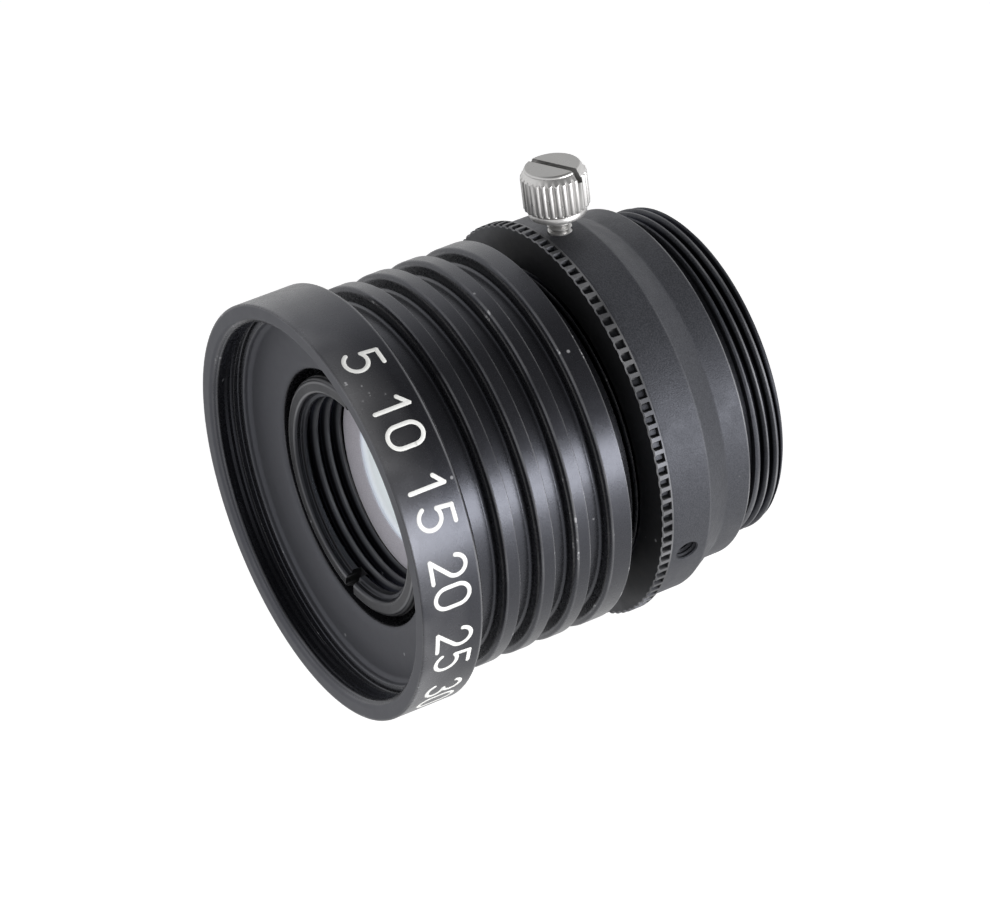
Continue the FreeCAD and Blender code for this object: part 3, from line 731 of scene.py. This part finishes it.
# The flat top and the slot's floor get a darker colour than the flanks, painted shade, which the mark for
# painted shade tells.
places = np.empty(3 * len(thumbscrew.data.vertices), dtype=np.float32)
thumbscrew.data.vertices.foreach_get("co", places)
heights = places[2::3] * 1000
marks = np.empty(len(heights), dtype=np.float32)
thumbscrew.data.attributes["edge"].data.foreach_get("value", marks)
marks[(heights > head_top - 0.02) | (np.abs(heights - head_top + driver_depth) < 0.01)] = shade_mark
thumbscrew.data.attributes["edge"].data.foreach_set("value", marks)
plated, plate = new_material("nickel_plate")
plate_tree = plated.node_tree
# The darker colour is painted shade: on the top, the slot's floor and the roots of the thread.
bright, shaded_plate = (0.6, 0.592, 0.585, 1), (0.33, 0.326, 0.32, 1)
plate_shade = placed(plate_tree, edge_wear)["PaintedShade"]
plate_tree.links.new(blend(plate_tree, plate_shade, bright, shaded_plate), plate.inputs["Base Color"])
plate.inputs["Metallic"].default_value = 0.8
plate_sheen = arithmetic(plate_tree, "MULTIPLY_ADD", noise(plate_tree, 1500.0, 4.0), 0.2, 0.2)
plate_tree.links.new(plate_sheen, plate.inputs["Roughness"])
dress(thumbscrew, plated, "thumbscrew", "screw_steel", "thumbscrew")


# The stage: a white floor below the lens, pale walls round it that are dark only overhead, one
# soft lamp low at the side, and a camera where the photograph was taken from. The floor has a
# white that only the camera, glass and, weaker, reflections see.
floor_height, floor_half = -0.12, 3
floor_mesh = bpy.data.meshes.new("floor")
floor_mesh.from_pydata([(-floor_half, -floor_half, floor_height), (floor_half, -floor_half, floor_height),
                        (floor_half, floor_half, floor_height), (-floor_half, floor_half, floor_height)],
                       [], [(0, 1, 2, 3)])
floor = bpy.data.objects.new("floor", floor_mesh)
bpy.context.scene.collection.objects.link(floor)
floor_white, floor_skin = new_material("floor_white")
floor_tree = floor_white.node_tree
floor_skin.inputs["Base Color"].default_value = (0.85, 0.85, 0.85, 1)
floor_skin.inputs["Roughness"].default_value = 0.9
rays = floor_tree.nodes.new("ShaderNodeLightPath").outputs
seen = arithmetic(floor_tree, "MAXIMUM", rays["Is Camera Ray"], rays["Is Transmission Ray"])
mirrored = arithmetic(floor_tree, "MULTIPLY", rays["Is Glossy Ray"], 0.4)
seen = arithmetic(floor_tree, "MAXIMUM", seen, mirrored)
glow = floor_tree.nodes.new("ShaderNodeEmission")
floor_tree.links.new(arithmetic(floor_tree, "MULTIPLY", seen, 0.5), glow.inputs["Strength"])
total = floor_tree.nodes.new("ShaderNodeAddShader")
floor_tree.links.new(floor_skin.outputs[0], total.inputs[0])
floor_tree.links.new(glow.outputs[0], total.inputs[1])
floor_tree.links.new(total.outputs[0], floor_tree.nodes["Material Output"].inputs["Surface"])
floor_mesh.materials.append(floor_white)

# The lamp faces the origin: its tilt and yaw are those of the way from there to the lamp.
light = bpy.data.lights.new("side", "AREA")
light.shape = "RECTANGLE"
light.size, light.size_y = 0.34, 0.17
light.energy = 1.7
away = (0.385, 0.165, -0.01)
lamp = bpy.data.objects.new("side", light)
lamp.location = away
lamp.rotation_euler = (math.atan2(math.hypot(away[0], away[1]), away[2]), 0, math.atan2(away[0], -away[1]))
bpy.context.scene.collection.objects.link(lamp)

world = bpy.data.worlds.new("room")
world.use_nodes = True
room = world.node_tree
overhead, wall_light, overhead_light = (0.45, 0.1, 0.89), 0.9, 0.12
direction = room.nodes.new("ShaderNodeVectorMath")
direction.operation = "DOT_PRODUCT"
room.links.new(room.nodes.new("ShaderNodeTexCoord").outputs["Generated"], direction.inputs[0])
direction.inputs[1].default_value = overhead
walls = ramp(room, direction.outputs["Value"], 0.9, 0.4)
brightness = arithmetic(room, "MULTIPLY_ADD", walls, wall_light, overhead_light)
room.links.new(brightness, room.nodes["Background"].inputs["Strength"])
room.nodes["Background"].inputs["Color"].default_value = (1, 1, 1, 1)
bpy.context.scene.world = world
bpy.context.scene.view_settings.view_transform = "Standard"

view = bpy.data.cameras.new("camera")
view.lens = 195.23
view.sensor_width = 36.0
view.sensor_fit = "HORIZONTAL"
view.clip_start, view.clip_end = 0.01, 20.0
right, up, back = (0.5091, 0.8529, -0.1158), (-0.3565, 0.3314, 0.8736), (0.7835, -0.4034, 0.4727)
stand = (0.3088, -0.17254, 0.18571)
camera = bpy.data.objects.new("camera", view)
camera.matrix_world = Matrix([[right[k], up[k], back[k], stand[k]] for k in range(3)] + [[0, 0, 0, 1]])
bpy.context.scene.collection.objects.link(camera)
bpy.context.scene.camera = camera
